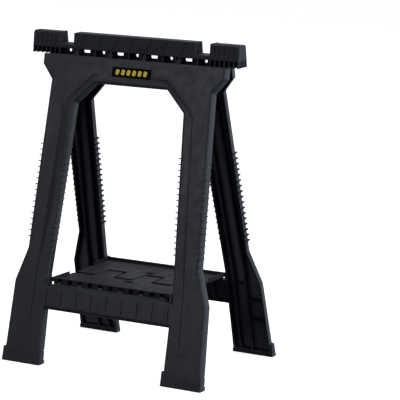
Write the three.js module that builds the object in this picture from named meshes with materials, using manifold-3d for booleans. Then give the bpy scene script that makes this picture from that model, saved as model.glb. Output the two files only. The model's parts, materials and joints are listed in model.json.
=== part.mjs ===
// A folding plastic sawhorse: a slotted top rail, two identical leg frames hinged under it,
// and a shelf in two identical halves hinged on the frames' cross-bars.
// Millimetres, +Z up, X along the rail, -Y the front. The origin is on the floor at the centre.
import * as THREE from 'three';
import { mergeVertices } from 'three/addons/utils/BufferGeometryUtils.js';
import Module from 'manifold-3d';

const wasm = await Module();
wasm.setup();

// Driving dimensions
const HEIGHT = 790;
const LENGTH = 574;
const LEG_ANGLE = THREE.MathUtils.degToRad(12.4);
const FRAME_DEPTH = 19;
const RAIL_TOP_WIDTH = 30;
const RAIL_BOTTOM_WIDTH = 43;
const BEAM_SLOT = 39;
const BEAM_SLOT_DEPTH = 28;
const END_BLOCK = 78;
const SHELF_BACK = 36;

// Fits and walls
const GAP = 0.3;
const RAIL_WALL = 3;
const LEG_WALL = 4;
const WEB = 2;

// Rail
const HALF = LENGTH / 2;
const COMB_HEIGHT = 16;
const RAIL_HEIGHT = 53;
const RAIL_BOTTOM = HEIGHT - RAIL_HEIGHT;
const BOX_BOTTOM = RAIL_BOTTOM + COMB_HEIGHT;
const SLOT_OUT = HALF - END_BLOCK;
const SLOT_IN = SLOT_OUT - BEAM_SLOT;
const SLOT_FLOOR = HEIGHT - BEAM_SLOT_DEPTH;
const END_WEBS = 6;
const GROOVE = { width: 2.4, depth: 1, margin: 4 };
const TOOTH = { pitch: SLOT_IN / 28, width: 2.4, depth: 1.5, length: 4 };
const SPINE = { half: 1, drop: 1.8, top: SLOT_FLOOR - 1, sill: 5, head: 11.8, wide: 18, narrow: 7 };
const LIP = { proud: 0.7, height: 1.8 };

// Leg hinge, placed in the rail's comb
const PIVOT_Y = 10;
const PIVOT_Z = HEIGHT - 46;
const PIN_RADIUS = 2.5;
const KNUCKLE_RADIUS = 6.5;
const KNUCKLE_WIDTH = 8.4;
const KNUCKLE_PITCH = LENGTH / 6.04;
const KNUCKLE_SHIFT = -20;
const WEB_OFFSET = 5.8;
const LONE_WEB_OFFSET = 54;
const KNUCKLES = [-1.5, -0.5, 0.5, 1.5].map((step) => step * KNUCKLE_PITCH + KNUCKLE_SHIFT);

// Leg frame outline: x from the middle, s up the face from the floor
const FACE = FRAME_DEPTH / 2;
const FLOOR_S = (PIVOT_Z + FACE * Math.sin(LEG_ANGLE)) / Math.cos(LEG_ANGLE);
const TOP_S = FLOOR_S - 9.6;
const APRON_S = TOP_S - 25.5;
const WAIST_S = TOP_S - 61.5;
const APRON_LOW_S = TOP_S - 62.5;
const CHAMFER_S = TOP_S - 114;
const KNEE_S = 226;
const BEND_HIGH_S = 280;
const BEND_LOW_S = 198;
const BAR_TOP_S = 198.7;
const BAR_LOW_S = 137;
const APRON_X = HALF - 30.4;
const CHAMFER_HIGH_X = HALF - 187;
const OUTER_EDGE = [[-12, HALF - 7.5], [0, HALF - 8], [BEND_LOW_S, HALF - 16.5],
  [BEND_HIGH_S, HALF - 44.5], [WAIST_S, HALF - 60]];
const INNER_EDGE = [[-12, HALF - 113.7], [0, HALF - 113.5], [KNEE_S, HALF - 112.5],
  [CHAMFER_S, HALF - 136], [APRON_LOW_S, CHAMFER_HIGH_X]];
const EDGE_ROUND = 8;
const GRIP = { count: 17, pitch: 14.15, bottom: 308.5, thickness: 2.5, proud: 3, wrap: 11, front: 0.8 };
const CELL_RIB = 2.5;
const FOOT_WEB_S = 14;
const CELL_LINES = [20, 52];
const FENCE = { y: 3, thickness: 2, top: -7.4 };
const BEAD = { width: 3, proud: 2.4, reach: 19.3, s: TOP_S - 38.5, low: CHAMFER_S + 5.5, x: APRON_X - 82 };
const BADGE = { width: 109, height: 24, s: TOP_S - 31, depth: 1.2, proud: 0.8 };

// Boots on the feet
const BOOT_HEIGHT = 35;
const BOOT_WALL = 3.2;
const BOOT_SOLE = 4;
const FOOT_CUTBACK = 3.8;
const BOOT_BACK = 13;

// Shelf hinge on the cross-bar, and the shelf half: u from the hinge to the middle, v up
const ROD_RADIUS = 2.5;
const CAP_RADIUS = 4.1;
const CLIP_RADIUS = 5.2;
const HINGE_Y = 4;
const HINGE_GAP = PIVOT_Y - HINGE_Y;
const HINGE_DROP = FLOOR_S - BAR_TOP_S - 2.5;
const CLIP_PITCH = (HALF - 113) / 6;
const CLIP_WIDTH = 17;
const BAR_KNUCKLE_WIDTH = 10;
const CLIPS = [-4.5, -3.5, -2.5, -1.5, -0.5, 0.5, 1.5, 2.5, 3.5, 4.5].map((n) => n * CLIP_PITCH);
const BAR_KNUCKLES = [-5, -3, -1, 1, 3, 5].map((n) => n * CLIP_PITCH);
const ROD_END = 14;
const ROD_HALF = 5 * CLIP_PITCH + ROD_END;
const HINGE_POINT = framePoint(HINGE_Y, -HINGE_DROP);
const SHELF_REACH = -HINGE_POINT.y;
const DECK_LOW = 4.5;
const DECK_TOP = 7.5;
const RIM_TOP = 14.5;
const RIM = 3;
const HINGE_RIM = 5;
const RECESS = { width: 13, depth: 3.4, low: DECK_LOW - 1, high: RIM_TOP - 2.6 };
const CUP = { reach: 7, radius: 6, wall: 1.8, floor: 1.5 };
const SHELF_ROOT = SHELF_REACH - SHELF_BACK;
const PLANK_PITCH = CLIP_PITCH * 0.75;
const SKIRT_LOW = 0.3 - HINGE_GAP;
const RIB_LOW = -3;
const CHEEK = { gap: 1.2, rise: 12, drop: 5 };
const FINGER_TIP = SHELF_REACH + 22;
const FINGER_PITCH = (HALF - 125) / 3;
const SHELF_HALF_WIDTH = HALF - 117;
const SHELF_TAPER = 6.5 / FINGER_TIP;

const PLASTIC = new THREE.MeshStandardMaterial({ color: 0x2d2e33, roughness: 0.55, metalness: 0 });
const RAIL_PLASTIC = new THREE.MeshStandardMaterial({ color: 0x303136, roughness: 0.6, metalness: 0 });
const RUBBER = new THREE.MeshStandardMaterial({ color: 0x26272c, roughness: 0.75, metalness: 0 });
const STEEL = new THREE.MeshStandardMaterial({ color: 0x2b2c2f, roughness: 0.45, metalness: 1 });
const BADGE_BLACK = new THREE.MeshStandardMaterial({ color: 0x0c0c0d, roughness: 0.4, metalness: 0 });

// A point of the open front leg frame, given from its pivot, in the object's frame.
function framePoint(y, z) {
  const tilted = new THREE.Vector3(0, y, z).applyAxisAngle(new THREE.Vector3(1, 0, 0), -LEG_ANGLE);
  return tilted.add(new THREE.Vector3(0, -PIVOT_Y, PIVOT_Z));
}

// Solids: three.js geometry in, manifold out, and back to three.js geometry
function solid(geometry) {
  geometry.deleteAttribute('normal');
  geometry.deleteAttribute('uv');
  const merged = mergeVertices(geometry, 1e-4);
  return new wasm.Manifold(new wasm.Mesh({
    numProp: 3,
    vertProperties: Float32Array.from(merged.attributes.position.array),
    triVerts: Uint32Array.from(merged.index.array),
  }));
}

function surface(body) {
  const mesh = body.getMesh();
  const geometry = new THREE.BufferGeometry();
  geometry.setAttribute('position', new THREE.BufferAttribute(mesh.vertProperties, 3));
  geometry.setIndex(new THREE.BufferAttribute(mesh.triVerts, 1));
  geometry.computeVertexNormals();
  return geometry;
}

function joined(first, pieces) {
  return pieces.reduce((whole, piece) => whole.add(piece), first);
}

function cut(first, pieces) {
  return pieces.reduce((whole, piece) => whole.subtract(piece), first);
}

function box([x0, x1], [y0, y1], [z0, z1]) {
  const geometry = new THREE.BoxGeometry(x1 - x0, y1 - y0, z1 - z0);
  return solid(geometry.translate((x0 + x1) / 2, (y0 + y1) / 2, (z0 + z1) / 2));
}

// A cylinder along X between two x values, at height z and depth y.
function bar(radius, [x0, x1], y, z, sides = 16) {
  const geometry = new THREE.CylinderGeometry(radius, radius, x1 - x0, sides);
  return solid(geometry.rotateZ(Math.PI / 2).translate((x0 + x1) / 2, y, z));
}

function shapeOf(points) {
  return new THREE.Shape(points.map(([a, b]) => new THREE.Vector2(a, b)));
}

// A prism with an (x, z) shape, from y0 to y1.
function prismXZ(shape, [y0, y1]) {
  const settings = { depth: y1 - y0, bevelEnabled: false, curveSegments: 4 };
  const geometry = new THREE.ExtrudeGeometry(shape, settings);
  return solid(geometry.rotateX(Math.PI / 2).translate(0, y1, 0));
}

function plateXZ(points, span) {
  return prismXZ(shapeOf(points), span);
}

// A prism with a (y, z) outline, from x0 to x1.
function plateYZ(points, [x0, x1]) {
  const geometry = new THREE.ExtrudeGeometry(shapeOf(points), { depth: x1 - x0, bevelEnabled: false });
  return solid(geometry.rotateY(Math.PI / 2).rotateX(Math.PI / 2).translate(x0, 0, 0));
}

// A prism with an (x, y) outline, from z0 to z1.
function plateXY(points, [z0, z1]) {
  const geometry = new THREE.ExtrudeGeometry(shapeOf(points), { depth: z1 - z0, bevelEnabled: false });
  return solid(geometry.translate(0, 0, z0));
}

// A moulded blank with an (x, z) outline and holes, whose front edges at y0 are rounded.
function roundedBlank(points, holes, [y0, y1], round) {
  const shape = shapeOf(points);
  for (const hole of holes) {
    shape.holes.push(new THREE.Path(hole.map(([a, b]) => new THREE.Vector2(a, b))));
  }
  const geometry = new THREE.ExtrudeGeometry(shape, {
    depth: y1 - y0 - round,
    bevelThickness: round,
    bevelSize: round,
    bevelOffset: -round,
    bevelSegments: 3,
  });
  const blank = solid(geometry.rotateX(Math.PI / 2).translate(0, y1, 0));
  return blank.subtract(box([-LENGTH, LENGTH], [y1, y1 + 2 * round], [-HEIGHT, HEIGHT]));
}

function ordered(a, b) {
  return a < b ? [a, b] : [b, a];
}

function mirrored(points) {
  return points.map(([x, z]) => [-x, z]).reverse();
}

// Linear interpolation along a list of (s, x) corners.
function along(edge, s) {
  const next = Math.max(1, edge.findIndex(([at]) => at >= s));
  const [s0, x0] = edge[next - 1];
  const [s1, x1] = edge[next];
  return x0 + (x1 - x0) * (s - s0) / (s1 - s0);
}

// ---------------------------------------------------------------- top rail

function railHalfWidth(z) {
  const share = (z - RAIL_BOTTOM) / RAIL_HEIGHT;
  return (RAIL_BOTTOM_WIDTH + (RAIL_TOP_WIDTH - RAIL_BOTTOM_WIDTH) * share) / 2;
}

function railSection(z0, z1, inset = 0) {
  const low = railHalfWidth(z0) - inset;
  const high = railHalfWidth(z1) - inset;
  return [[-low, z0], [low, z0], [high, z1], [-high, z1]];
}

function railCeiling(x) {
  const inSlot = Math.abs(x) > SLOT_IN - RAIL_WALL && Math.abs(x) < SLOT_OUT + RAIL_WALL;
  return (inSlot ? SLOT_FLOOR : HEIGHT) - RAIL_WALL;
}

function railBox() {
  const block = plateYZ(railSection(BOX_BOTTOM, HEIGHT), [-HALF, HALF]);
  const hollow = railSection(BOX_BOTTOM - 1, HEIGHT - RAIL_WALL, RAIL_WALL);
  let inside = plateYZ(hollow, [RAIL_WALL - HALF, HALF - RAIL_WALL]);
  const across = [-RAIL_BOTTOM_WIDTH, RAIL_BOTTOM_WIDTH];
  const slots = [];
  for (const side of [-1, 1]) {
    const span = ordered(side * SLOT_IN, side * SLOT_OUT);
    slots.push(box(span, across, [SLOT_FLOOR, HEIGHT + 1]));
    const wide = [span[0] - RAIL_WALL, span[1] + RAIL_WALL];
    inside = inside.subtract(box(wide, across, [SLOT_FLOOR - RAIL_WALL, HEIGHT]));
  }
  return cut(block.add(railLip()), [inside, ...slots]);
}

// The low lip along the lower edge of both faces.
function railLip() {
  const half = railHalfWidth(BOX_BOTTOM) + LIP.proud;
  return box([-HALF, HALF], [-half, half], [BOX_BOTTOM, BOX_BOTTOM + LIP.height]);
}

// The wall along the middle of the comb, and the rounded openings through it.
function railSpine() {
  const high = box([1 - HALF, HALF - 1], [-SPINE.half, SPINE.half], [RAIL_BOTTOM, SPINE.top]);
  const reach = APRON_X - EDGE_ROUND;
  const low = box([-reach, reach], [-SPINE.half, SPINE.half], [RAIL_BOTTOM - SPINE.drop, RAIL_BOTTOM + 1]);
  return high.add(low);
}

function spineOpenings() {
  const openings = [];
  for (let n = -4; n <= 4; n += 1) {
    const half = (n % 2 === 0 ? SPINE.narrow : SPINE.wide) / 2;
    const round = Math.min(half, (SPINE.head - SPINE.sill) * 0.5);
    const x = n * KNUCKLE_PITCH / 2;
    const shape = new THREE.Shape();
    shape.moveTo(x - half, RAIL_BOTTOM + SPINE.head);
    shape.lineTo(x - half, RAIL_BOTTOM + SPINE.sill + round);
    shape.absarc(x - half + round, RAIL_BOTTOM + SPINE.sill + round, round, Math.PI, 1.5 * Math.PI);
    shape.absarc(x + half - round, RAIL_BOTTOM + SPINE.sill + round, round, 1.5 * Math.PI, 2 * Math.PI);
    shape.lineTo(x + half, RAIL_BOTTOM + SPINE.head);
    openings.push(prismXZ(shape, [-SPINE.half - 1, SPINE.half + 1]));
  }
  return openings;
}

// A cross web of the comb. side -1 or 1 keeps only the front or rear half of it.
function railWeb(x, side = 0) {
  const top = railCeiling(x) + 1;
  const low = railHalfWidth(RAIL_BOTTOM);
  const high = railHalfWidth(top);
  const inner = SPINE.half / 2;
  const section = side === 0
    ? railSection(RAIL_BOTTOM, top)
    : [[side * low, RAIL_BOTTOM], [side * inner, RAIL_BOTTOM], [side * inner, top], [side * high, top]];
  return plateYZ(section, [x - WEB / 2, x + WEB / 2]);
}

function railWebs() {
  const webs = [];
  for (const side of [-1, 1]) {
    const wall = ordered(side * (HALF - RAIL_WALL), side * HALF);
    webs.push(plateYZ(railSection(RAIL_BOTTOM, HEIGHT - 1), wall));
    for (let n = 0; n < END_WEBS; n += 1) {
      webs.push(railWeb(side * (SLOT_OUT + WEB + n * (END_BLOCK - 15) / (END_WEBS - 1))));
    }
    for (const knuckle of KNUCKLES) {
      for (const offset of [-WEB_OFFSET, WEB_OFFSET, LONE_WEB_OFFSET]) {
        webs.push(railWeb(-side * (knuckle + offset), side));
      }
    }
  }
  return webs;
}

// A groove in one face of the rail, from x0 at its foot to x1 at its top.
function railGroove(side, x0, x1) {
  const z0 = BOX_BOTTOM + GROOVE.margin;
  const z1 = HEIGHT - GROOVE.margin;
  const front = [[x0, z0], [x0 + GROOVE.width, z0], [x1 + GROOVE.width, z1], [x1, z1]];
  const outline = side < 0 ? front : mirrored(front).reverse();
  const band = plateXZ(outline, ordered(0, side * RAIL_BOTTOM_WIDTH));
  return band.subtract(plateYZ(railSection(BOX_BOTTOM, HEIGHT, GROOVE.depth), [-HALF, HALF]));
}

// Slanted grooves on the faces of the middle block, upright ones on the end blocks.
function railGrooves() {
  const grooves = [];
  const pitch = SLOT_IN / 3.65;
  const slant = 10;
  for (const side of [-1, 1]) {
    for (let n = -3; n <= 3; n += 1) {
      grooves.push(railGroove(side, n * pitch - slant, n * pitch));
    }
    for (const end of [-1, 1]) {
      for (let n = 1; n < END_WEBS; n += 1) {
        const x = end * (SLOT_OUT + n * END_BLOCK / END_WEBS) - GROOVE.width / 2;
        grooves.push(railGroove(side, x, x));
      }
    }
  }
  return grooves;
}

// Notches along both top edges of the middle block, and upright grooves in the walls of the slots.
function railTeeth() {
  const teeth = [];
  const low = HEIGHT - TOOTH.depth;
  const half = railHalfWidth(low);
  const count = Math.floor((SLOT_IN - TOOTH.length) / TOOTH.pitch);
  for (let n = -count; n <= count; n += 1) {
    const x = n * TOOTH.pitch;
    const span = [x - TOOTH.width / 2, x + TOOTH.width / 2];
    for (const side of [-1, 1]) {
      teeth.push(box(span, ordered(side * (half - TOOTH.length), side * (half + 1)), [low, HEIGHT + 1]));
    }
  }
  for (const wall of [-SLOT_OUT, -SLOT_IN, SLOT_IN, SLOT_OUT]) {
    for (let n = -2; n <= 2; n += 1) {
      const y = n * TOOTH.pitch;
      const span = [wall - GROOVE.depth, wall + GROOVE.depth];
      teeth.push(box(span, [y - 0.8, y + 0.8], [SLOT_FLOOR + 1, HEIGHT + 1]));
    }
  }
  return teeth;
}

// The sloping cuts along the top edges of the end blocks.
function railChamfers() {
  const high = railHalfWidth(HEIGHT);
  const reach = 5;
  const chamfers = [];
  for (const end of [-1, 1]) {
    for (const side of [-1, 1]) {
      const section = [[side * (high - reach), HEIGHT + 1], [side * (high - reach), HEIGHT],
        [side * (high + 2), HEIGHT - reach], [side * (high + 2), HEIGHT + 1]];
      const outline = side < 0 ? section : [...section].reverse();
      chamfers.push(plateYZ(outline, ordered(end * (SLOT_OUT + reach), end * (HALF + 1))));
    }
  }
  return chamfers;
}

function topRail() {
  const body = joined(railBox(), [...railWebs(), railSpine()]);
  const bores = [];
  for (const side of [-1, 1]) {
    for (const knuckle of KNUCKLES) {
      const x = -side * knuckle;
      bores.push(bar(PIN_RADIUS + GAP, [x - 9, x + 9], side * PIVOT_Y, PIVOT_Z, 12));
    }
  }
  return cut(body, [...bores, ...spineOpenings(), ...railGrooves(), ...railTeeth(), ...railChamfers()]);
}

// ---------------------------------------------------------------- leg frame, from its pivot

const faceZ = (s) => s - FLOOR_S;
const toFace = (points) => points.map(([x, s]) => [x, faceZ(s)]);

// Everything under the level z of the open sawhorse, seen from the leg frame.
function belowLevel(z) {
  const geometry = new THREE.BoxGeometry(2 * LENGTH, HEIGHT, HEIGHT);
  geometry.translate(0, 0, z - PIVOT_Z - HEIGHT / 2);
  return solid(geometry.rotateX(LEG_ANGLE));
}

function frameBlank() {
  const right = [[APRON_X, TOP_S + EDGE_ROUND], [APRON_X, APRON_S]];
  for (const [s, x] of [...OUTER_EDGE].reverse()) {
    right.push([x, s]);
  }
  right.push([INNER_EDGE[0][1], INNER_EDGE[0][0]]);
  right.push([along(INNER_EDGE, BAR_LOW_S), BAR_LOW_S]);
  const window = [[along(INNER_EDGE, BAR_TOP_S), BAR_TOP_S], [along(INNER_EDGE, KNEE_S), KNEE_S],
    [along(INNER_EDGE, CHAMFER_S), CHAMFER_S], [CHAMFER_HIGH_X, APRON_LOW_S]];
  const outline = [...right, ...mirrored(right)];
  const hole = [...window, ...mirrored(window)];
  const blank = roundedBlank(toFace(outline), [toFace(hole)], [-FACE, FACE], EDGE_ROUND);
  return blank.subtract(box([-LENGTH, LENGTH], [-FRAME_DEPTH, FRAME_DEPTH], [faceZ(TOP_S), EDGE_ROUND]));
}

// The hollows in the back of a leg: three strips between the walls, and the cross ribs' levels.
function legHollows() {
  const ends = [FOOT_WEB_S, APRON_LOW_S - 5];
  const strips = [[LEG_WALL, CELL_LINES[0]], CELL_LINES, [CELL_LINES[1], null]];
  const levels = [[BAR_TOP_S - 4], [BAR_TOP_S - 4], [98, 152, BEND_HIGH_S]];
  const hollows = [];
  strips.forEach(([near, far], strip) => {
    const stops = [ends[0], ...levels[strip], ends[1]];
    for (let zone = 0; zone + 1 < stops.length; zone += 1) {
      const s0 = stops[zone] + CELL_RIB / 2;
      const s1 = stops[zone + 1] - CELL_RIB / 2;
      const bends = [BEND_LOW_S, KNEE_S, CHAMFER_S].filter((s) => s > s0 && s < s1);
      const stations = [s0, ...bends, s1];
      const start = near + (strip > 0 ? CELL_RIB / 2 : 0);
      const nearSide = stations.map((s) => [along(INNER_EDGE, s) + start, s]);
      const farSide = stations.map((s) => [far === null
        ? along(OUTER_EDGE, Math.min(s, WAIST_S)) - LEG_WALL
        : along(INNER_EDGE, s) + far - CELL_RIB / 2, s]);
      const outline = [...nearSide, ...farSide.reverse()];
      hollows.push(outline, mirrored(outline));
    }
  });
  return hollows;
}

function apronHollows() {
  const hollows = [];
  const cells = 8;
  const reach = APRON_X - LEG_WALL;
  for (let n = 0; n < cells; n += 1) {
    const x0 = -reach + 2 * reach * n / cells + (n > 0 ? 1.25 : 0);
    const x1 = -reach + 2 * reach * (n + 1) / cells - (n < cells - 1 ? 1.25 : 0);
    const low = n === 0 || n === cells - 1 ? APRON_S + 2 : APRON_LOW_S + 4;
    hollows.push([[x0, low], [x1, low], [x1, TOP_S - LEG_WALL], [x0, TOP_S - LEG_WALL]]);
  }
  return hollows;
}

function barHollows() {
  const cells = 8;
  const reach = along(INNER_EDGE, BAR_LOW_S) + 2;
  const hollows = [];
  for (let n = 0; n < cells; n += 1) {
    const x0 = -reach + 2 * reach * n / cells + 1.25;
    const x1 = -reach + 2 * reach * (n + 1) / cells - 1.25;
    const low = BAR_LOW_S + LEG_WALL;
    const high = BAR_TOP_S - 12;
    hollows.push([[x0, low], [x1, low], [x1, high], [x0, high]]);
  }
  return hollows;
}

function rectangle([x0, x1], [s0, s1]) {
  return [[x0, s0], [x1, s0], [x1, s1], [x0, s1]];
}

// Grooves in the cross-bar's outer face: upright ones between its panels and one along its foot.
function barMarks() {
  const panels = 8;
  const pitch = 43 * LENGTH / 574;
  const width = 3.2;
  const reach = panels * pitch / 2;
  const marks = [rectangle([-reach, reach], [BAR_LOW_S + 9, BAR_LOW_S + 10.4])];
  for (let n = 0; n <= panels; n += 1) {
    const x = n * pitch - reach;
    marks.push(rectangle([x - width / 2, x + width / 2], [BAR_LOW_S + 14, BAR_TOP_S - 14]));
  }
  return marks.map((mark) => plateXZ(toFace(mark), [-FACE - 1, 1.8 - FACE]));
}

// Shallow marks on the outer face: a long groove down each leg and two short lines on the apron.
function faceMarks() {
  const share = 0.37;
  const middle = (s) => along(INNER_EDGE, s) * (1 - share) + along(OUTER_EDGE, s) * share;
  const levels = [96, KNEE_S, CHAMFER_S - 10];
  const up = levels.map((s) => [middle(s) + 1.2, s]);
  const down = levels.map((s) => [middle(s) - 1.2, s]).reverse();
  const groove = [...up, ...down];
  const line = rectangle([CHAMFER_HIGH_X - 15, APRON_X - 58], [TOP_S - 18, TOP_S - 15.8]);
  const marks = [groove, line].flatMap((mark) => [mark, mirrored(mark)]);
  return marks.map((mark) => plateXZ(toFace(mark), [-FACE - 1, 1.2 - FACE]));
}

// The raised bead that follows the sloping corner of the window.
function cornerBeads() {
  const corner = [CHAMFER_HIGH_X + 3, BEAD.s];
  const start = CHAMFER_HIGH_X - BEAD.reach;
  const outline = [[start, BEAD.s], corner, [BEAD.x, BEAD.low], [BEAD.x + BEAD.width, BEAD.low],
    [corner[0] + BEAD.width / 2, BEAD.s + BEAD.width], [start, BEAD.s + BEAD.width]];
  const span = [-FACE - BEAD.proud, 1 - FACE];
  return [outline, mirrored(outline)].map((bead) => plateXZ(toFace(bead), span));
}

// The low wall along the apron's top, behind the rail's comb.
function apronFence() {
  const reach = APRON_X - EDGE_ROUND;
  return box([-reach, reach], [FENCE.y, FENCE.y + FENCE.thickness], [faceZ(TOP_S) - 1, FENCE.top]);
}

// The lip along the cross-bar's top, in front of the shelf hinge.
function barLip() {
  const y = HINGE_Y - CLIP_RADIUS - 2.8;
  return box([-ROD_HALF, ROD_HALF], [y, y + 2], [-HINGE_DROP - 5, -HINGE_DROP - 1]);
}

// The cheeks on the legs' inner sides that close the two ends of the shelf hinge.
function hingeCheeks() {
  const near = SHELF_HALF_WIDTH + CHEEK.gap;
  const far = along(INNER_EDGE, BAR_TOP_S) + 1;
  const levels = [-HINGE_DROP - CHEEK.drop, CHEEK.rise - HINGE_DROP];
  return [-1, 1].map((side) => box(ordered(side * near, side * far), [1 - FACE, FACE - 1], levels));
}

// One grip rib's outline seen from above: along a leg's side and round its front corner.
function gripOutline(edge, out) {
  const front = -FACE - GRIP.front;
  const inside = LEG_WALL - FACE - 1;
  const points = [[edge - GRIP.wrap, front], [edge + GRIP.proud / 2, front], [edge + GRIP.proud, 1 - FACE],
    [edge + GRIP.proud, FACE - 1], [edge - 3, FACE - 1], [edge - 3, inside], [edge - GRIP.wrap, inside]];
  return out > 0 ? points : points.map(([x, y]) => [2 * edge - x, y]).reverse();
}

// The raised grip ribs on both edges of both legs.
function gripRibs() {
  const ribs = [];
  for (let n = 0; n < GRIP.count; n += 1) {
    const s = GRIP.bottom + n * GRIP.pitch;
    const span = [faceZ(s) - GRIP.thickness / 2, faceZ(s) + GRIP.thickness / 2];
    for (const [edge, out] of [[along(OUTER_EDGE, s), 1], [along(INNER_EDGE, s), -1]]) {
      const outline = gripOutline(edge, out);
      ribs.push(plateXY(outline, span), plateXY(mirrored(outline), span));
    }
  }
  return ribs;
}

function frameKnuckles() {
  const blocks = KNUCKLES.map((x) => {
    const span = [x - KNUCKLE_WIDTH / 2, x + KNUCKLE_WIDTH / 2];
    const stem = box(span, [-KNUCKLE_RADIUS, KNUCKLE_RADIUS], [faceZ(TOP_S) - 1, 0]);
    return stem.add(bar(KNUCKLE_RADIUS, span, 0, 0));
  });
  const holders = BAR_KNUCKLES.map((x) => {
    const span = [x - BAR_KNUCKLE_WIDTH / 2, x + BAR_KNUCKLE_WIDTH / 2];
    return bar(CLIP_RADIUS, span, HINGE_Y, -HINGE_DROP, 12);
  });
  return [...blocks, ...holders];
}

function frameBores() {
  const bores = KNUCKLES.map((x) => bar(PIN_RADIUS + GAP, [x - 9, x + 9], 0, 0, 12));
  bores.push(bar(ROD_RADIUS + GAP, [-ROD_HALF - 2, ROD_HALF + 2], HINGE_Y, -HINGE_DROP, 12));
  const spans = CLIPS.map((x) => [x - CLIP_WIDTH / 2 - 0.8, x + CLIP_WIDTH / 2 + 0.8]);
  for (const side of [-1, 1]) {
    spans.push(ordered(side * (ROD_HALF - 6), side * (ROD_HALF + 1)));
  }
  const reach = CLIP_RADIUS + 0.8;
  for (const span of spans) {
    bores.push(box(span, [HINGE_Y - reach, FACE + 1], [-HINGE_DROP - reach, -HINGE_DROP + reach]));
  }
  return bores;
}

function legFrame() {
  const hollows = [...legHollows(), ...apronHollows(), ...barHollows()];
  const pockets = hollows.map((outline) => plateXZ(toFace(outline), [LEG_WALL - FACE, FACE + 1]));
  const shell = cut(frameBlank(), [...pockets, ...barMarks(), ...faceMarks()]);
  const raised = [...gripRibs(), ...cornerBeads(), apronFence(), barLip(), ...hingeCheeks()];
  const body = joined(shell, [...raised, ...frameKnuckles()]);
  const heelCut = box([-LENGTH, LENGTH], [FACE - FOOT_CUTBACK, FACE + 1], [-HEIGHT, faceZ(BOOT_HEIGHT + 1)]);
  const seat = BADGE.width / 2 + GAP;
  const badgeSeat = box([-seat, seat], [-FACE - 1, BADGE.depth - FACE],
    [faceZ(BADGE.s) - BADGE.height / 2 - GAP, faceZ(BADGE.s) + BADGE.height / 2 + GAP]);
  return cut(body, [...frameBores(), heelCut, badgeSeat, belowLevel(BOOT_SOLE + GAP)]);
}

function badge() {
  const half = BADGE.width / 2;
  return box([-half, half], [-FACE - BADGE.proud, BADGE.depth - FACE - GAP],
    [faceZ(BADGE.s) - BADGE.height / 2, faceZ(BADGE.s) + BADGE.height / 2]);
}

function boot(side) {
  const outline = (wall, low, high) => {
    const right = [low, high].map((s) => [along(INNER_EDGE, s) - wall, s]);
    right.push(...[high, low].map((s) => [along(OUTER_EDGE, s) + wall, s]));
    return toFace(side > 0 ? right : mirrored(right));
  };
  const outer = roundedBlank(outline(BOOT_WALL, -12, BOOT_HEIGHT), [], [-FACE - BOOT_WALL, FACE - GAP], 5);
  const cavity = plateXZ(outline(GAP, -12, BOOT_HEIGHT + 5), [-FACE - GAP, FACE - FOOT_CUTBACK + GAP]);
  const back = box([-LENGTH, LENGTH], [FACE - FOOT_CUTBACK - GAP, FRAME_DEPTH], [faceZ(BOOT_BACK), 0]);
  return cut(outer, [cavity.subtract(belowLevel(BOOT_SOLE)), belowLevel(0), back]);
}

// ---------------------------------------------------------------- shelf half, from its hinge

const shelfEdge = (u) => SHELF_HALF_WIDTH - SHELF_TAPER * Math.max(u, 0);

// The deck: a tapering plate whose free edge has every second finger of the middle joint.
function deckOutline() {
  const front = -1;
  const points = [[-shelfEdge(front), front], [shelfEdge(front), front]];
  const slope = 2;
  for (let cell = 2; cell >= -3; cell -= 1) {
    const last = cell === 2;
    const x1 = (cell + 1) * FINGER_PITCH - 1.2;
    const x0 = cell * FINGER_PITCH + 1.2;
    if (cell % 2 === 0) {
      points.push([last ? shelfEdge(SHELF_ROOT) : x1, SHELF_ROOT]);
      points.push([last ? shelfEdge(FINGER_TIP) : x1 - slope, FINGER_TIP]);
      points.push([x0 + slope, FINGER_TIP], [x0, SHELF_ROOT]);
    }
  }
  points.push([-shelfEdge(SHELF_ROOT), SHELF_ROOT]);
  return points;
}

function shelfRims() {
  const back = -1;
  const end = SHELF_ROOT - 20;
  const side = (sign) => plateXY([[sign * shelfEdge(back), back], [sign * shelfEdge(end), end],
    [sign * (shelfEdge(end) - RIM), end], [sign * (shelfEdge(back) - RIM), back]], [DECK_LOW, RIM_TOP]);
  const reach = shelfEdge(0) - 0.5;
  const hingeSide = box([-reach, reach], [back, back + HINGE_RIM], [DECK_LOW, RIM_TOP]);
  return [side(-1), side(1), hingeSide];
}

function shelfRibs() {
  const ribs = [];
  const near = 8;
  const far = SHELF_ROOT - 28;
  for (let n = -5; n <= 5; n += 2) {
    const x = n * CLIP_PITCH;
    ribs.push(box([x - 1.25, x + 1.25], [near, far], [RIB_LOW, DECK_LOW + 1]));
  }
  const reach = 5 * CLIP_PITCH;
  ribs.push(box([-reach, reach], [far - 2.5, far], [RIB_LOW, DECK_LOW + 1]));
  const skirt = shelfEdge(near + 2) - 1;
  ribs.push(box([-skirt, skirt], [near, near + 2], [SKIRT_LOW, DECK_LOW + 1]));
  return ribs;
}

// Each clip is a ring round the rod, open underneath, with a stem up to the deck.
function shelfClips() {
  return CLIPS.map((x) => {
    const span = [x - CLIP_WIDTH / 2, x + CLIP_WIDTH / 2];
    const ring = bar(CLIP_RADIUS, span, 0, 0, 12);
    const stem = box(span, [-1, CLIP_RADIUS + 3.5], [0, DECK_LOW + 1]);
    return ring.add(stem);
  });
}

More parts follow.
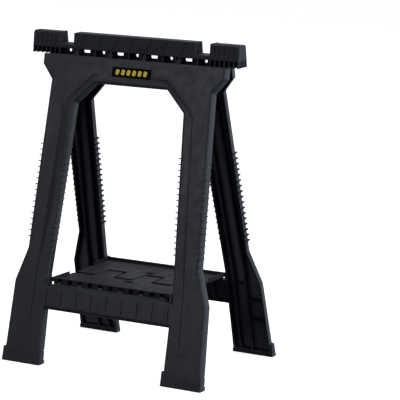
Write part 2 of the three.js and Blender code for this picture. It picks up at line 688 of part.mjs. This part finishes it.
function shelfCuts() {
  const cuts = [bar(ROD_RADIUS + GAP, [-ROD_HALF - 2, ROD_HALF + 2], 0, 0, 12)];
  for (const x of CLIPS) {
    cuts.push(box([x - CLIP_WIDTH, x + CLIP_WIDTH], [-2, 2], [-CLIP_RADIUS - 1, 0]));
  }
  for (const x of BAR_KNUCKLES) {
    const half = BAR_KNUCKLE_WIDTH / 2 + 1;
    cuts.push(box([x - half, x + half], [-2, CLIP_RADIUS + 1.5], [DECK_LOW - 1, CLIP_RADIUS + 0.8]));
    cuts.push(box([x - half, x + half], [HINGE_RIM - 1, CLIP_RADIUS + 1.5], [DECK_LOW - 1, DECK_TOP + 1]));
  }
  for (let n = -5; n <= 5; n += 1) {
    const x = n * CLIP_PITCH;
    const span = [x - RECESS.width / 2, x + RECESS.width / 2];
    cuts.push(box(span, [-2, RECESS.depth - 1], [RECESS.low, RECESS.high]));
  }
  cuts.push(fingerCup(0, [RIB_LOW + CUP.floor, DECK_TOP + 1]));
  return cuts;
}

// The long round-ended form of the finger pocket, grown by a wall, between two heights.
function fingerCup(wall, [z0, z1]) {
  const u = SHELF_REACH - 48.5;
  const shape = new THREE.Shape();
  shape.absarc(-CUP.reach, u, CUP.radius + wall, Math.PI / 2, 1.5 * Math.PI);
  shape.absarc(CUP.reach, u, CUP.radius + wall, -Math.PI / 2, Math.PI / 2);
  const settings = { depth: z1 - z0, bevelEnabled: false, curveSegments: 6 };
  return solid(new THREE.ExtrudeGeometry(shape, settings).translate(0, 0, z0));
}

// Fine grooves in the deck's top, from the hinge to the fingers.
function deckGrooves() {
  const grooves = [];
  for (let n = -7; n <= 7; n += 1) {
    const x = (n - 0.5) * PLANK_PITCH;
    if (Math.abs(x) < SHELF_HALF_WIDTH - 10) {
      grooves.push(box([x - 0.6, x + 0.6], [12, SHELF_ROOT - 6], [DECK_TOP - 0.8, DECK_TOP + 1]));
    }
  }
  return grooves;
}

function shelfHalf() {
  const deck = plateXY(deckOutline(), [DECK_LOW, DECK_TOP]);
  const pocket = fingerCup(CUP.wall, [RIB_LOW, DECK_LOW + 1]);
  const body = joined(deck, [...shelfRims(), ...shelfRibs(), ...shelfClips(), pocket]);
  return cut(body, [...shelfCuts(), ...deckGrooves()]);
}

// ---------------------------------------------------------------- small parts

function hingeRod() {
  return bar(ROD_RADIUS, [-ROD_HALF, ROD_HALF], 0, 0, 16);
}

function rodCap(side) {
  const span = ordered(side * (ROD_HALF - 5), side * (ROD_HALF - 2));
  return bar(CAP_RADIUS, span, 0, 0, 12).subtract(bar(ROD_RADIUS + GAP, [-LENGTH, LENGTH], 0, 0, 12));
}

function legPin() {
  return bar(PIN_RADIUS, [-WEB_OFFSET - 2.5, WEB_OFFSET + 2.5], 0, 0, 16);
}

// ---------------------------------------------------------------- assembly

function mesh(name, body, material) {
  const part = new THREE.Mesh(surface(body), material);
  part.name = name;
  return part;
}

// One side of the sawhorse: the leg frame and what rides on it, its shelf half and its leg pins.
function sideAssembly(name, frameBody, shelfBody) {
  const side = new THREE.Group();
  const leg = new THREE.Group();
  leg.position.set(0, -PIVOT_Y, PIVOT_Z);
  leg.rotation.x = -LEG_ANGLE;
  leg.add(mesh(`${name}_leg_frame`, frameBody, PLASTIC));
  leg.add(mesh(`${name}_badge`, badge(), BADGE_BLACK));
  const hinge = new THREE.Group();
  hinge.position.set(0, HINGE_Y, -HINGE_DROP);
  hinge.add(mesh(`${name}_shelf_rod`, hingeRod(), STEEL));
  for (const [end, sign] of [['left', -1], ['right', 1]]) {
    leg.add(mesh(`${name}_boot_${end}`, boot(sign), RUBBER));
    hinge.add(mesh(`${name}_rod_cap_${end}`, rodCap(sign), STEEL));
  }
  leg.add(hinge);
  side.add(leg);
  const shelf = mesh(`${name}_shelf_half`, shelfBody, PLASTIC);
  shelf.position.copy(HINGE_POINT);
  side.add(shelf);
  KNUCKLES.forEach((x, index) => {
    const pin = mesh(`${name}_leg_pin_${index + 1}`, legPin(), STEEL);
    pin.position.set(x, -PIVOT_Y, PIVOT_Z);
    side.add(pin);
  });
  return side;
}

const sawhorse = new THREE.Group();
sawhorse.add(mesh('top_rail', topRail(), RAIL_PLASTIC));
const frameBody = legFrame();
const shelfBody = shelfHalf();
const front = sideAssembly('front', frameBody, shelfBody);
const rear = sideAssembly('rear', frameBody, shelfBody);
rear.rotation.z = Math.PI;
sawhorse.add(front, rear);

export default sawhorse;
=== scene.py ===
import json

import bpy
import numpy as np
from mathutils import Matrix, Vector


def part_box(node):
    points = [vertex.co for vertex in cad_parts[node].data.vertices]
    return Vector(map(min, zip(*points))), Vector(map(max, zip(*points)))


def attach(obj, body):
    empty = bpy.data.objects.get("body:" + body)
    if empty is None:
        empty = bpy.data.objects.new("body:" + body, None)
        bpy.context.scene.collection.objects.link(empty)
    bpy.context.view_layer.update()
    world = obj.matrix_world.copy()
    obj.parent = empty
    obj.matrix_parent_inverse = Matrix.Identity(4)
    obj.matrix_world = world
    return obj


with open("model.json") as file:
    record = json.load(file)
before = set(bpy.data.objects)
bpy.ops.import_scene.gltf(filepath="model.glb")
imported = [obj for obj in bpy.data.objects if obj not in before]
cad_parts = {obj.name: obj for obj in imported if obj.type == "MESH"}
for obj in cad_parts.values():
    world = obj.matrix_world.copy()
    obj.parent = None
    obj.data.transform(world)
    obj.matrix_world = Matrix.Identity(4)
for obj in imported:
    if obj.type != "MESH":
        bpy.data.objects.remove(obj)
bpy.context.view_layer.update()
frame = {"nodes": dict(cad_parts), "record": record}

# A folding plastic sawhorse: slotted rail, two leg frames and a hinged shelf.
# Metres, +Z up, X along the rail, -Y the front.

SIDES = {"front": -1, "rear": 1}
DEG = np.pi / 180
MM = 0.001

# Places worked out from the frame's joints and boxes.
JOINTS = {joint["name"]: joint for joint in frame["record"]["behaviour"]["joints"]}
PIVOT = np.array(JOINTS["front_fold"]["pos_m"])
HINGE = np.array(JOINTS["front_shelf_fold"]["pos_m"])
LEG_ANGLE = JOINTS["front_fold"]["range_deg"][1] * DEG
HINGE_Y, HINGE_Z = -HINGE[1], HINGE[2]
RAIL_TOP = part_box("top_rail")[1][2]

# The leg frames: half their depth, how far apart their outer faces would be at the floor's level, and
# the height of the pivot measured up a face from the floor.
FACE = 19 * MM / 2
FACE_FOOT_Y = FACE / np.cos(LEG_ANGLE) - PIVOT[1] + PIVOT[2] * np.tan(LEG_ANGLE)
FLOOR_S = (PIVOT[2] + FACE * np.sin(LEG_ANGLE)) / np.cos(LEG_ANGLE)
OUTER_FACE = -FACE

# Where shade and light are painted in, with a matt finish: painted shade in the rail's comb, along
# the shelf's recesses along its hinge and in its finger pockets; painted light in the hollow backs of the
# legs.
RAIL_COMB_TOP = RAIL_TOP - 37 * MM
RAIL_COMB_DEPTH = 15 * MM
LEG_HOLLOW = (3.4 * MM, 17 * MM)
RECESS_ROW = (HINGE_Y - 3 * MM, HINGE_Y + 0.5 * MM)
RECESS_LEVEL = (HINGE_Z + 3.4 * MM, HINGE_Z + 12 * MM)
POCKET_Y = (38 * MM, 59 * MM)
POCKET_HALF = 16 * MM
POCKET_TOP = HINGE_Z + 6.3 * MM

# The grip ribs: the lowest, the step, the end of the row, the wrap round a leg's corner, and for each
# edge its distance from the middle at the lowest rib and how fast it nears the middle with height.
GRIP_FOOT, GRIP_PITCH, GRIP_HEAD = 308.5 * MM, 14.15 * MM, 536 * MM
GRIP_WRAP = 11 * MM
GRIP_OUTER, GRIP_INNER = (241.4 * MM, 0.0375), (169.8 * MM, 0.0565)

BADGE_S = FLOOR_S - 40.6 * MM
BADGE_FACE = OUTER_FACE - 0.8 * MM


# ---------------------------------------------------------------- materials

class Finish:
    """A node material under construction: its shader and short calls that add and join nodes."""

    def __init__(self, name):
        self.material = bpy.data.materials.new(name)
        self.material.use_nodes = True
        self.tree = self.material.node_tree
        self.shader = next(node for node in self.tree.nodes if node.type == "BSDF_PRINCIPLED")
        self.place = self.add("ShaderNodeTexCoord").outputs["Object"]

    def add(self, kind, values=(), **settings):
        """A node of this kind with its settings, and default values for its named or numbered inputs."""
        node = self.tree.nodes.new(kind)
        for key, value in settings.items():
            setattr(node, key, value)
        for key, value in dict(values).items():
            node.inputs[key].default_value = value
        return node

    def join(self, source, target):
        self.tree.links.new(source, target)

    def math(self, operation, *sources):
        """The result of a Math node on sockets and plain numbers."""
        node = self.add("ShaderNodeMath", operation=operation)
        for port, source in enumerate(sources):
            if isinstance(source, (int, float)):
                node.inputs[port].default_value = source
            else:
                self.join(source, node.inputs[port])
        return node.outputs["Value"]

    def axis(self, name):
        """The object's own X, Y or Z."""
        split = self.add("ShaderNodeSeparateXYZ")
        self.join(self.place, split.inputs["Vector"])
        return split.outputs[name]

    def off_middle(self, name):
        """The distance from the middle along X or Y."""
        return self.math("ABSOLUTE", self.axis(name))

    def noise(self, scale, detail, stretch=None):
        """Noise on the object's own coordinates, squeezed along the axes by stretch."""
        texture = self.add("ShaderNodeTexNoise", {"Scale": scale, "Detail": detail, "Roughness": 0.58})
        place = self.place
        if stretch is not None:
            mapping = self.add("ShaderNodeMapping", {"Scale": stretch})
            self.join(place, mapping.inputs["Vector"])
            place = mapping.outputs["Vector"]
        self.join(place, texture.inputs["Vector"])
        return texture.outputs["Fac"]

    def spread(self, source, low, high, to_low, to_high):
        """Maps the stretch low..high of a value to to_low..to_high."""
        limits = {"From Min": low, "From Max": high, "To Min": to_low, "To Max": to_high}
        ranger = self.add("ShaderNodeMapRange", limits)
        self.join(source, ranger.inputs["Value"])
        return ranger.outputs["Result"]

    def between(self, value, low, high, soft):
        """1 where the value lies between low and high, falling to 0 over soft on either side."""
        rise = self.spread(value, low - soft, low, 0.0, 1.0)
        fall = self.spread(value, high, high + soft, 1.0, 0.0)
        return self.math("MULTIPLY", rise, fall)

    def blend(self, share, first, second):
        """Mixes two colours, each a tuple or a socket, by a share."""
        mix = self.add("ShaderNodeMix", data_type="RGBA")
        self.join(share, mix.inputs[0])
        for port, colour in ((6, first), (7, second)):
            if isinstance(colour, tuple):
                mix.inputs[port].default_value = (*colour, 1)
            else:
                self.join(colour, mix.inputs[port])
        return mix.outputs[2]

    def level(self, share, first, second):
        """Mixes a value and a number by a share."""
        mix = self.add("ShaderNodeMix", {3: second}, data_type="FLOAT")
        self.join(share, mix.inputs[0])
        self.join(first, mix.inputs[2])
        return mix.outputs[0]

    def bump(self, height, strength, distance):
        node = self.add("ShaderNodeBump", {"Strength": strength, "Distance": distance})
        self.join(height, node.inputs["Height"])
        self.join(node.outputs["Normal"], self.shader.inputs["Normal"])


def shade(colour, factor, lift=0.0):
    return tuple(min(1.0, channel * factor + lift) for channel in colour)


def moulded_plastic(name, colour, roughness, grain=0.3, flow=0.25, wear_and_highlight=0.35, specular=0.4,
                    painted_hollow_shading=None, lines=None, hollow_shading_scale=0.3):
    """Injection-moulded polypropylene: a fine pebbled grain, long faint flow marks down the moulding,
    a slow drift of tone, and a paler band along the sharp edges, partly edge wear and partly a painted
    highlight. The hollow mask, a function of the finish, gives the share of painted shading with a matt
    finish, whose colour is the base colour scaled by a factor: painted shade below 1, painted light above
    1. The shadow mask gives the share of painted shadow lines under the grip ribs."""
    finish = Finish(name)
    drift = finish.noise(9.0, 4.0)
    streaks = finish.noise(120.0, 3.0, (1.0, 1.0, 0.12))
    tone = finish.math("MULTIPLY_ADD", streaks, flow, drift)
    middle = 0.5 + flow / 2
    share = finish.spread(tone, middle - 0.2, middle + 0.2, 0.0, 1.0)
    body = finish.blend(share, shade(colour, 0.9), shade(colour, 1.1))
    edges = finish.add("ShaderNodeNewGeometry").outputs["Pointiness"]
    # A paler band on sharp edges: partly edge wear, partly a painted highlight.
    rub_and_highlight = finish.spread(edges, 0.52, 0.62, 0.0, wear_and_highlight)
    skin = finish.blend(rub_and_highlight, body, shade(colour, 2.0, 0.008))
    gloss = finish.spread(finish.noise(45.0, 5.0), 0.3, 0.7, roughness - 0.07, roughness + 0.09)
    # Painted shading in hollows: the base colour scaled by the factor, painted shade below 1 and painted
    # light above 1, with a matt roughness.
    if painted_hollow_shading is not None:
        hollow_shading = painted_hollow_shading(finish)
        skin = finish.blend(hollow_shading, skin, shade(colour, hollow_shading_scale))
        gloss = finish.level(hollow_shading, gloss, 0.9)
    # Painted shadow lines under the grip ribs, near black.
    if lines is not None:
        skin = finish.blend(lines(finish), skin, shade(colour, 0.15))
    finish.join(skin, finish.shader.inputs["Base Color"])
    finish.join(gloss, finish.shader.inputs["Roughness"])
    pebbles = finish.add("ShaderNodeTexVoronoi", {"Scale": 1500.0}, feature="SMOOTH_F1")
    finish.join(finish.place, pebbles.inputs["Vector"])
    finish.bump(pebbles.outputs["Distance"], grain, 0.3 * MM)
    finish.shader.inputs["Specular IOR Level"].default_value = specular
    return finish.material


def blackened_steel(name):
    """Blackened steel: a dark grey with fine drawn lines and a mottled bloom."""
    finish = Finish(name)
    bloom = finish.spread(finish.noise(180.0, 4.0), 0.3, 0.7, 0.0, 1.0)
    tone = finish.blend(bloom, (0.020, 0.020, 0.022), (0.045, 0.045, 0.048))
    finish.join(tone, finish.shader.inputs["Base Color"])
    finish.bump(finish.noise(2400.0, 3.0, (0.05, 1.0, 1.0)), 0.15, 0.1 * MM)
    finish.shader.inputs["Metallic"].default_value = 1.0
    finish.shader.inputs["Roughness"].default_value = 0.38
    return finish.material


def comb_painted_shade(finish):
    """Where shade is painted darker, with a matt finish: the space between the rail's two faces under the
    box, near the middle and below the faces.
    """
    depth = finish.between(finish.axis("Y"), -RAIL_COMB_DEPTH, RAIL_COMB_DEPTH, 2 * MM)
    return finish.math("MULTIPLY", depth, finish.between(finish.axis("Z"), 0.0, RAIL_COMB_TOP, MM))


def leg_hollow_painted_light(finish):
    """Where light is painted in, paler, with a matt finish: the floors of the hollows at the back of
    both leg frames, what lies behind the outer face by more than a wall and faces forwards or backwards."""
    face_y = finish.math("MULTIPLY_ADD", finish.axis("Z"), -np.tan(LEG_ANGLE), FACE_FOOT_Y)
    behind = finish.math("SUBTRACT", face_y, finish.off_middle("Y"))
    deep = finish.between(behind, *LEG_HOLLOW, 0.5 * MM)
    split = finish.add("ShaderNodeSeparateXYZ")
    finish.join(finish.add("ShaderNodeTexCoord").outputs["Normal"], split.inputs["Vector"])
    facing = finish.math("ABSOLUTE", split.outputs["Y"])
    return finish.math("MULTIPLY", deep, finish.spread(facing, 0.5, 0.7, 0.0, 1.0))


def leg_height(finish):
    """The height up a leg frame's face from the floor, the same on both sides."""
    sin, cos = np.sin(LEG_ANGLE), np.cos(LEG_ANGLE)
    start = FLOOR_S + PIVOT[1] * sin - PIVOT[2] * cos
    tilted = finish.math("MULTIPLY_ADD", finish.off_middle("Y"), sin, start)
    return finish.math("MULTIPLY_ADD", finish.axis("Z"), cos, tilted)


def near_edge(finish, height, edge, sign):
    """1 on the strip that a rib's wrap covers at a leg's outer edge (sign 1) or inner edge (-1)."""
    start, slope = edge
    line = finish.math("MULTIPLY_ADD", height, -slope, start + slope * GRIP_FOOT)
    beyond = finish.math("SUBTRACT", finish.off_middle("X"), line)
    return finish.spread(beyond, -sign * GRIP_WRAP, -sign * (GRIP_WRAP - MM), 0.0, 1.0)


def grip_rib_painted_shadows(finish):
    """A painted shadow line under each grip rib: a narrow band of every pitch, near a leg's two edges."""
    height = leg_height(finish)
    steps = finish.math("MULTIPLY_ADD", height, 1 / GRIP_PITCH, -GRIP_FOOT / GRIP_PITCH)
    band = finish.between(finish.math("FRACT", steps), 0.74, 0.90, 0.05)
    zone = finish.between(height, GRIP_FOOT - GRIP_PITCH / 2, GRIP_HEAD, MM)
    outer = near_edge(finish, height, GRIP_OUTER, 1)
    inner = near_edge(finish, height, GRIP_INNER, -1)
    return finish.math("MULTIPLY", finish.math("MULTIPLY", band, zone), finish.math("MAXIMUM", outer, inner))


def recess_painted_shade(finish):
    """Where shade is painted darker, with a matt finish: the row of recesses in the shelf's hinge rims, and
    the finger pockets.
    """
    away = finish.off_middle("Y")
    row = finish.between(away, *RECESS_ROW, 0.2 * MM)
    recesses = finish.math("MULTIPLY", row, finish.between(finish.axis("Z"), *RECESS_LEVEL, 0.3 * MM))
    across = finish.between(away, *POCKET_Y, 0.5 * MM)
    along = finish.between(finish.off_middle("X"), -MM, POCKET_HALF, 0.5 * MM)
    below = finish.between(finish.axis("Z"), 0.0, POCKET_TOP, 0.4 * MM)
    pockets = finish.math("MULTIPLY", finish.math("MULTIPLY", across, along), below)
    return finish.math("MAXIMUM", recesses, pockets)


# The legs: painted light in the hollows (factor 5), painted shadow lines under the grip ribs, and a strong
# paler edge band, partly wear and partly a painted highlight.
BODY = moulded_plastic("leg_moulding", (0.0120, 0.0130, 0.0170), 0.42, wear_and_highlight=0.7, specular=0.40,
                       painted_hollow_shading=leg_hollow_painted_light, lines=grip_rib_painted_shadows, hollow_shading_scale=5.0)
# The rail: painted shade in the comb (factor 0.6).
RAIL = moulded_plastic("rail_moulding", (0.0190, 0.0198, 0.0235), 0.62, specular=0.18, painted_hollow_shading=comb_painted_shade,
                       hollow_shading_scale=0.6)
# The shelf: painted shade in the recesses and finger pockets (factor 0.3), and a strong paler edge band,
# partly wear and partly a painted highlight.
SHELF = moulded_plastic("shelf_moulding", (0.0100, 0.0098, 0.0100), 0.6, wear_and_highlight=0.8, specular=0.10,
                        painted_hollow_shading=recess_painted_shade)
BOOT = moulded_plastic("boot_moulding", (0.012, 0.0125, 0.015), 0.52, grain=0.5, flow=0.1)
PLATE = moulded_plastic("badge_plate", (0.0022, 0.0022, 0.0022), 0.6, grain=0.08, wear_and_highlight=0.1, specular=0.05)
YELLOW = moulded_plastic("badge_yellow", (1.0, 0.68, 0.06), 0.5, grain=0.08, wear_and_highlight=0.1)
STEEL = blackened_steel("blackened_steel")


# ---------------------------------------------------------------- carried-over nodes

def dress(node, material, edge=None, tight=25):
    """Gives a CAD node its finish, and rounds its edges: doubles welded, flat faces joined, a small
    bevel on every edge sharper than the tight angle."""
    piece = frame["nodes"][node]
    piece.data.materials.clear()
    piece.data.materials.append(material)
    if edge is None:
        return
    weld = piece.modifiers.new("weld", "WELD")
    weld.merge_threshold = 1e-5
    flat = piece.modifiers.new("flat", "DECIMATE")
    flat.decimate_type = "DISSOLVE"
    flat.angle_limit = 1.0 * DEG
    rounding = piece.modifiers.new("rounding", "BEVEL")
    rounding.width = edge
    rounding.segments = 2
    rounding.limit_method = "ANGLE"
    rounding.angle_limit = tight * DEG
    rounding.harden_normals = False


dress("top_rail", RAIL, 0.6 * MM)
for side in SIDES:
    dress(f"{side}_leg_frame", BODY, 0.5 * MM, 40)
    dress(f"{side}_shelf_half", SHELF, 0.4 * MM)
    dress(f"{side}_badge", PLATE, 0.5 * MM)
    dress(f"{side}_shelf_rod", STEEL)
    for end in ("left", "right"):
        dress(f"{side}_boot_{end}", BOOT, 0.8 * MM)
        dress(f"{side}_rod_cap_{end}", STEEL)
    for number in range(1, 5):
        dress(f"{side}_leg_pin_{number}", STEEL)


# ---------------------------------------------------------------- small raised pieces

def on_leg(points, side):
    """Carries points given on a leg frame (x along the rail, y through the frame, s up its face from
    the floor) to the object's frame: a turn by the leg angle about the fold's axis, then half a turn
    about the upright for the rear."""
    x, y, s = points[..., 0], points[..., 1], points[..., 2] - FLOOR_S
    cos, sin = np.cos(LEG_ANGLE), np.sin(LEG_ANGLE)
    placed = np.stack([x, y * cos + s * sin + PIVOT[1], s * cos - y * sin + PIVOT[2]], axis=-1)
    if SIDES[side] > 0:
        placed[..., :2] *= -1
    return placed


def closed_loft(rings):
    """Joins n rings of m points into one closed skin: quads between neighbours, and a fan from the
    middle of each end ring. Returns vertices and faces."""
    n, m, _ = rings.shape
    index = np.arange(n * m).reshape(n, m)
    onward = np.roll(index, -1, axis=1)
    quads = np.stack([index[:-1], onward[:-1], onward[1:], index[1:]], axis=-1).reshape(-1, 4)
    ends = np.stack([rings[0].mean(axis=0), rings[-1].mean(axis=0)])
    first = np.stack([onward[0], index[0], np.full(m, n * m)], axis=-1)
    last = np.stack([index[-1], onward[-1], np.full(m, n * m + 1)], axis=-1)
    faces = quads.tolist() + first.tolist() + last.tolist()
    return np.concatenate([rings.reshape(-1, 3), ends]), faces


def raised_bar(start, end, half_width, height, base):
    """A low crowned bar on the frame's face between two (x, s) points. Along it, t from 0 to 1, its
    size follows the fourth root of 1 - |2t - 1|^8; across, each section is a rounded box: half_width
    times cos, and height times sin, both raised to the power 0.4. base is the y of the face."""
    t = np.linspace(0.0, 1.0, 15)[:, None]
    taper = np.maximum(1 - np.abs(2 * t - 1) ** 8, 1e-3) ** 0.25
    angle = np.linspace(0, 2 * np.pi, 20, endpoint=False)[None, :]
    across = np.sign(np.cos(angle)) * np.abs(np.cos(angle)) ** 0.4 * half_width * taper
    out = np.sign(np.sin(angle)) * np.abs(np.sin(angle)) ** 0.4 * height * taper
    start, end = np.array(start), np.array(end)
    along = start + (end - start) * t
    direction = (end - start) / np.linalg.norm(end - start)
    x = along[:, :1] + across * direction[1]
    s = along[:, 1:] - across * direction[0]
    return closed_loft(np.stack([x, base - out, s], axis=-1))


def dome(centre, radius, height, base):
    """A low button on the frame's face round an (x, s) point: rings of radius r = radius cos(a) at a
    height of height sin(a), with a from a little under the face to the crown."""
    rise = np.linspace(-0.35, 0.5 * np.pi - 0.05, 9)[:, None]
    turn = np.linspace(0, 2 * np.pi, 24, endpoint=False)[None, :]
    x = centre[0] + radius * np.cos(rise) * np.cos(turn)
    s = centre[1] - radius * np.cos(rise) * np.sin(turn)
    out = height * np.sin(rise) + 0 * turn
    return closed_loft(np.stack([x, base - out, s], axis=-1))


def add_piece(name, parts, material, body, side):
    """One smooth mesh from several closed skins given on a leg frame, riding on that body."""
    vertices, faces, shift = [], [], 0
    for points, skin in parts:
        vertices.append(on_leg(points, side))
        faces += [[corner + shift for corner in face] for face in skin]
        shift += len(points)
    mesh = bpy.data.meshes.new(name)
    mesh.from_pydata(np.concatenate(vertices).tolist(), [], faces)
    mesh.polygons.foreach_set("use_smooth", [True] * len(mesh.polygons))
    mesh.materials.append(material)
    piece = bpy.data.objects.new(name, mesh)
    bpy.context.scene.collection.objects.link(piece)
    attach(piece, body)


def badge_bars(side):
    """Six plain slanted yellow bars across the badge."""
    bars = []
    for number in range(6):
        x = (number - 2.5) * 15.5 * MM
        slant = 1.8 * MM
        half = 6.6 * MM
        start, end = (x - slant, BADGE_S - half), (x + slant, BADGE_S + half)
        bars.append(raised_bar(start, end, 4.6 * MM, 0.5 * MM, BADGE_FACE))
    add_piece(f"{side}_badge_bars", bars, YELLOW, f"{side}_leg", side)


def badge_rim(side):
    """A thin raised rim round the badge's plate."""
    half_x, half_s = 52.6 * MM, 10.2 * MM
    low, high = BADGE_S - half_s, BADGE_S + half_s
    lines = [((-half_x, low), (half_x, low)), ((half_x, high), (-half_x, high)),
             ((-half_x, high), (-half_x, low)), ((half_x, low), (half_x, high))]
    rim = [raised_bar(a, b, 0.7 * MM, 0.5 * MM, BADGE_FACE) for a, b in lines]
    add_piece(f"{side}_badge_rim", rim, PLATE, f"{side}_leg", side)


def leg_marks(side):
    """On each leg: a short bar above the boot and a round button half-way up. On the cross-bar: a
    moulding plug."""
    marks = [dome((-22 * MM, 170 * MM), 4.2 * MM, 1.2 * MM, OUTER_FACE + 0.1 * MM)]
    for end in (-1, 1):
        bar_x, bar_s, bar_half = end * 226 * MM, 78 * MM, 13 * MM
        start, end_point = (bar_x - bar_half, bar_s), (bar_x + bar_half, bar_s)
        marks.append(raised_bar(start, end_point, 1.5 * MM, 1.4 * MM, OUTER_FACE))
        marks.append(dome((end * 197 * MM, 387 * MM), 4.6 * MM, 2.8 * MM, OUTER_FACE + 0.1 * MM))
    add_piece(f"{side}_leg_marks", marks, BODY, f"{side}_leg", side)


for side in SIDES:
    badge_bars(side)
    badge_rim(side)
    leg_marks(side)


# ---------------------------------------------------------------- stage, light, camera

def studio_floor():
    """A plain pale floor under the sawhorse. It glows enough to meet the white background without an
    edge, and is kept out of the light that falls on the object."""
    mesh = bpy.data.meshes.new("floor")
    reach = 6.0
    corners = [(-reach, -reach, 0), (reach, -reach, 0), (reach, reach, 0), (-reach, reach, 0)]
    mesh.from_pydata(corners, [], [(0, 1, 2, 3)])
    floor = bpy.data.objects.new("floor", mesh)
    floor.visible_diffuse = False
    floor.visible_glossy = False
    bpy.context.scene.collection.objects.link(floor)
    finish = Finish("pale_floor")
    finish.shader.inputs["Base Color"].default_value = (0.8, 0.8, 0.8, 1)
    finish.shader.inputs["Roughness"].default_value = 0.9
    finish.shader.inputs["Specular IOR Level"].default_value = 0.0
    finish.shader.inputs["Emission Color"].default_value = (1, 1, 1, 1)
    finish.shader.inputs["Emission Strength"].default_value = 0.8
    mesh.materials.append(finish.material)


def soft_light(name, size, watts, place, target, colour=(1, 1, 1)):
    """A square area light at place that faces target."""
    data = bpy.data.lights.new(name, "AREA")
    data.shape = "SQUARE"
    data.size = size
    data.energy = watts
    data.color = colour
    light = bpy.data.objects.new(name, data)
    light.location = place
    light.rotation_euler = (Vector(target) - Vector(place)).to_track_quat("-Z", "Y").to_euler()
    bpy.context.scene.collection.objects.link(light)


def white_room():
    """A white background. The light it gives is strong from behind (+Y) and weak from the front."""
    world = bpy.data.worlds.new("studio")
    world.use_nodes = True
    tree = world.node_tree
    background = next(node for node in tree.nodes if node.type == "BACKGROUND")
    direction = tree.nodes.new("ShaderNodeTexCoord")
    split = tree.nodes.new("ShaderNodeSeparateXYZ")
    tree.links.new(direction.outputs["Generated"], split.inputs["Vector"])
    glow = tree.nodes.new("ShaderNodeMapRange")
    for port, value in {"From Min": -0.4, "From Max": 0.7, "To Min": 0.16, "To Max": 0.95}.items():
        glow.inputs[port].default_value = value
    tree.links.new(split.outputs["Y"], glow.inputs["Value"])
    ground = tree.nodes.new("ShaderNodeMapRange")
    for port, value in {"From Min": -0.5, "From Max": -0.25, "To Min": 0.25, "To Max": 1.0}.items():
        ground.inputs[port].default_value = value
    tree.links.new(split.outputs["Z"], ground.inputs["Value"])
    lit = tree.nodes.new("ShaderNodeMath")
    lit.operation = "MULTIPLY"
    tree.links.new(glow.outputs["Result"], lit.inputs[0])
    tree.links.new(ground.outputs["Result"], lit.inputs[1])
    seen = tree.nodes.new("ShaderNodeLightPath")
    strength = tree.nodes.new("ShaderNodeMath")
    strength.operation = "MAXIMUM"
    tree.links.new(lit.outputs["Value"], strength.inputs[0])
    tree.links.new(seen.outputs["Is Camera Ray"], strength.inputs[1])
    tree.links.new(strength.outputs["Value"], background.inputs["Strength"])
    tint = tree.nodes.new("ShaderNodeMix")
    tint.data_type = "RGBA"
    tint.inputs[6].default_value = (0.84, 0.90, 1.0, 1)
    tint.inputs[7].default_value = (1, 1, 1, 1)
    tree.links.new(seen.outputs["Is Camera Ray"], tint.inputs[0])
    tree.links.new(tint.outputs[2], background.inputs["Color"])
    bpy.context.scene.world = world


def studio():
    middle = (0, 0, 0.4)
    white_room()
    soft_light("right", 1.4, 74, (3.1, -0.1, 0.9), middle, (0.76, 0.84, 1.0))
    soft_light("front", 2.0, 28, (-1.15, -3.4, 1.6), middle, (0.92, 0.94, 1.0))
    soft_light("top", 1.2, 18, (0.3, 0.6, 2.8), middle)
    studio_floor()


def camera():
    """A long-lens camera on the view's bearing, aimed a little right of the sawhorse's middle and below
    it, so that the middle falls left of centre."""
    azimuth, elevation, distance = 30.4 * DEG, 11.83 * DEG, 5.393
    lens_mm = 201.06
    aim_right, aim_down = 0.14876, 0.00606
    flat = np.array([np.sin(azimuth), -np.cos(azimuth), 0.0])
    back = flat * np.cos(elevation) + np.array([0.0, 0.0, np.sin(elevation)])
    right = np.array([np.cos(azimuth), np.sin(azimuth), 0.0])
    up = np.cross(back, right)
    place = np.array([0.0, 0.0, 0.4]) + distance * back + aim_right * right - aim_down * up
    data = bpy.data.cameras.new("camera")
    data.sensor_width = 36.0
    data.lens = lens_mm
    data.clip_end = 50.0
    view = bpy.data.objects.new("camera", data)
    turn = Matrix((right, up, back)).transposed()
    view.matrix_world = Matrix.Translation(place) @ turn.to_4x4()
    bpy.context.scene.collection.objects.link(view)
    bpy.context.scene.camera = view


studio()
camera()
bpy.context.scene.view_settings.view_transform = "Standard"
